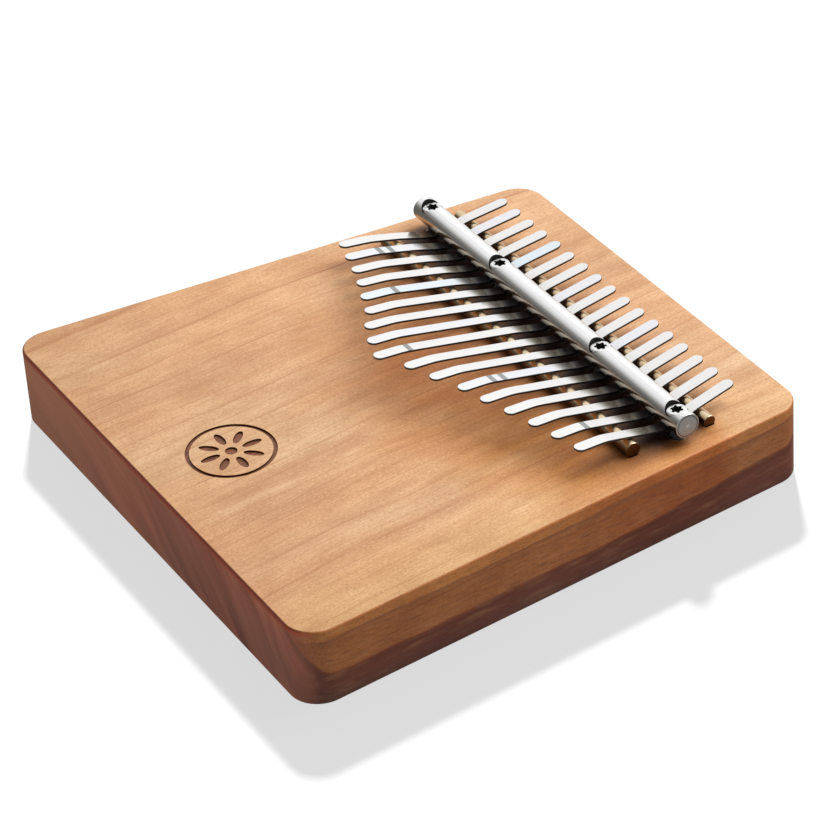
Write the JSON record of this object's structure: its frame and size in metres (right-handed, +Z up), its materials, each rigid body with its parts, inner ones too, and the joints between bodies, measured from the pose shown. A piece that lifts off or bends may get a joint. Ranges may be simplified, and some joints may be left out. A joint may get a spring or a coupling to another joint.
{
  "type": "board kalimba",
  "caption": "Board kalimba: a tapered solid wood board with a fan of spring steel tines over two brass bridge rods, held down by a round steel pressure bar with screws.",
  "frame": {"origin": "centre of the board's underside, which lies flat on a table", "axes": "+Z up out of the playing face, +X to the player's right, +Y away from the player, from the plucked tips towards the bridges"},
  "size_m": [0.1834, 0.18, 0.0397],
  "materials": {
    "cherry_wood": "oiled, satin, fine straight grain along Y",
    "bar_steel": "drawn and lightly brushed stainless steel",
    "tine_steel": "polished blue-white spring steel",
    "screw_steel": "bright stainless steel",
    "brass": "drawn brass, satin"
  },
  "bodies": {
    "root": {"body_board": "cherry_wood", "front_bridge_rod": "brass", "rear_bridge_rod": "brass", "pressure_bar": "bar_steel", "clamp_screw_1": "screw_steel", "clamp_screw_2": "screw_steel", "clamp_screw_3": "screw_steel", "clamp_screw_4": "screw_steel", "threaded_insert_1": "brass", "threaded_insert_2": "brass", "threaded_insert_3": "brass", "threaded_insert_4": "brass", "tine_01_clamped": "tine_steel", "tine_02_clamped": "tine_steel", "tine_03_clamped": "tine_steel", "tine_04_clamped": "tine_steel", "tine_05_clamped": "tine_steel", "tine_06_clamped": "tine_steel", "tine_07_clamped": "tine_steel", "tine_08_clamped": "tine_steel", "tine_09_clamped": "tine_steel", "tine_10_clamped": "tine_steel", "tine_11_clamped": "tine_steel", "tine_12_clamped": "tine_steel", "tine_13_clamped": "tine_steel", "tine_14_clamped": "tine_steel", "tine_15_clamped": "tine_steel", "tine_16_clamped": "tine_steel", "tine_17_clamped": "tine_steel"},
    "tongue_01": {"tine_01_tongue": "tine_steel"},
    "tongue_02": {"tine_02_tongue": "tine_steel"},
    "tongue_03": {"tine_03_tongue": "tine_steel"},
    "tongue_04": {"tine_04_tongue": "tine_steel"},
    "tongue_05": {"tine_05_tongue": "tine_steel"},
    "tongue_06": {"tine_06_tongue": "tine_steel"},
    "tongue_07": {"tine_07_tongue": "tine_steel"},
    "tongue_08": {"tine_08_tongue": "tine_steel"},
    "tongue_09": {"tine_09_tongue": "tine_steel"},
    "tongue_10": {"tine_10_tongue": "tine_steel"},
    "tongue_11": {"tine_11_tongue": "tine_steel"},
    "tongue_12": {"tine_12_tongue": "tine_steel"},
    "tongue_13": {"tine_13_tongue": "tine_steel"},
    "tongue_14": {"tine_14_tongue": "tine_steel"},
    "tongue_15": {"tine_15_tongue": "tine_steel"},
    "tongue_16": {"tine_16_tongue": "tine_steel"},
    "tongue_17": {"tine_17_tongue": "tine_steel"}
  },
  "joints": [
    {"name": "pluck_01", "type": "hinge", "parent": "root", "child": "tongue_01", "pos_m": [-0.0671, 0.03406, 0.03078], "axis": [1, 0, 0], "range_deg": [-4, 4], "stiffness_Nm_per_rad": 2.22},
    {"name": "pluck_02", "type": "hinge", "parent": "root", "child": "tongue_02", "pos_m": [-0.05871, 0.03406, 0.03078], "axis": [1, 0, 0], "range_deg": [-4, 4], "stiffness_Nm_per_rad": 2.06},
    {"name": "pluck_03", "type": "hinge", "parent": "root", "child": "tongue_03", "pos_m": [-0.05032, 0.03406, 0.03078], "axis": [1, 0, 0], "range_deg": [-4, 4], "stiffness_Nm_per_rad": 1.91},
    {"name": "pluck_04", "type": "hinge", "parent": "root", "child": "tongue_04", "pos_m": [-0.04194, 0.03406, 0.03078], "axis": [1, 0, 0], "range_deg": [-4, 4], "stiffness_Nm_per_rad": 1.77},
    {"name": "pluck_05", "type": "hinge", "parent": "root", "child": "tongue_05", "pos_m": [-0.03355, 0.03406, 0.03078], "axis": [1, 0, 0], "range_deg": [-4, 4], "stiffness_Nm_per_rad": 1.62},
    {"name": "pluck_06", "type": "hinge", "parent": "root", "child": "tongue_06", "pos_m": [-0.02516, 0.03406, 0.03078], "axis": [1, 0, 0], "range_deg": [-4, 4], "stiffness_Nm_per_rad": 1.5},
    {"name": "pluck_07", "type": "hinge", "parent": "root", "child": "tongue_07", "pos_m": [-0.01677, 0.03406, 0.03078], "axis": [1, 0, 0], "range_deg": [-4, 4], "stiffness_Nm_per_rad": 1.35},
    {"name": "pluck_08", "type": "hinge", "parent": "root", "child": "tongue_08", "pos_m": [-0.00839, 0.03406, 0.03078], "axis": [1, 0, 0], "range_deg": [-4, 4], "stiffness_Nm_per_rad": 1.25},
    {"name": "pluck_09", "type": "hinge", "parent": "root", "child": "tongue_09", "pos_m": [0, 0.03406, 0.03078], "axis": [1, 0, 0], "range_deg": [-4, 4], "stiffness_Nm_per_rad": 1.19},
    {"name": "pluck_10", "type": "hinge", "parent": "root", "child": "tongue_10", "pos_m": [0.00839, 0.03408, 0.03078], "axis": [1, 0, 0], "range_deg": [-4, 4], "stiffness_Nm_per_rad": 1.31},
    {"name": "pluck_11", "type": "hinge", "parent": "root", "child": "tongue_11", "pos_m": [0.01677, 0.0341, 0.03077], "axis": [1, 0, 0], "range_deg": [-4, 4], "stiffness_Nm_per_rad": 1.4},
    {"name": "pluck_12", "type": "hinge", "parent": "root", "child": "tongue_12", "pos_m": [0.02516, 0.03413, 0.03077], "axis": [1, 0, 0], "range_deg": [-4, 4], "stiffness_Nm_per_rad": 1.55},
    {"name": "pluck_13", "type": "hinge", "parent": "root", "child": "tongue_13", "pos_m": [0.03354, 0.03415, 0.03076], "axis": [1, 0, 0], "range_deg": [-4, 4], "stiffness_Nm_per_rad": 1.64},
    {"name": "pluck_14", "type": "hinge", "parent": "root", "child": "tongue_14", "pos_m": [0.04193, 0.03417, 0.03075], "axis": [1, 0, 0], "range_deg": [-4, 4], "stiffness_Nm_per_rad": 1.76},
    {"name": "pluck_15", "type": "hinge", "parent": "root", "child": "tongue_15", "pos_m": [0.05031, 0.0342, 0.03075], "axis": [1, 0, 0], "range_deg": [-4, 4], "stiffness_Nm_per_rad": 1.91},
    {"name": "pluck_16", "type": "hinge", "parent": "root", "child": "tongue_16", "pos_m": [0.05869, 0.03422, 0.03074], "axis": [1, 0, 0], "range_deg": [-4, 4], "stiffness_Nm_per_rad": 2.05},
    {"name": "pluck_17", "type": "hinge", "parent": "root", "child": "tongue_17", "pos_m": [0.06708, 0.03425, 0.03073], "axis": [1, 0, 0], "range_deg": [-4, 4], "stiffness_Nm_per_rad": 2.22}
  ]
}
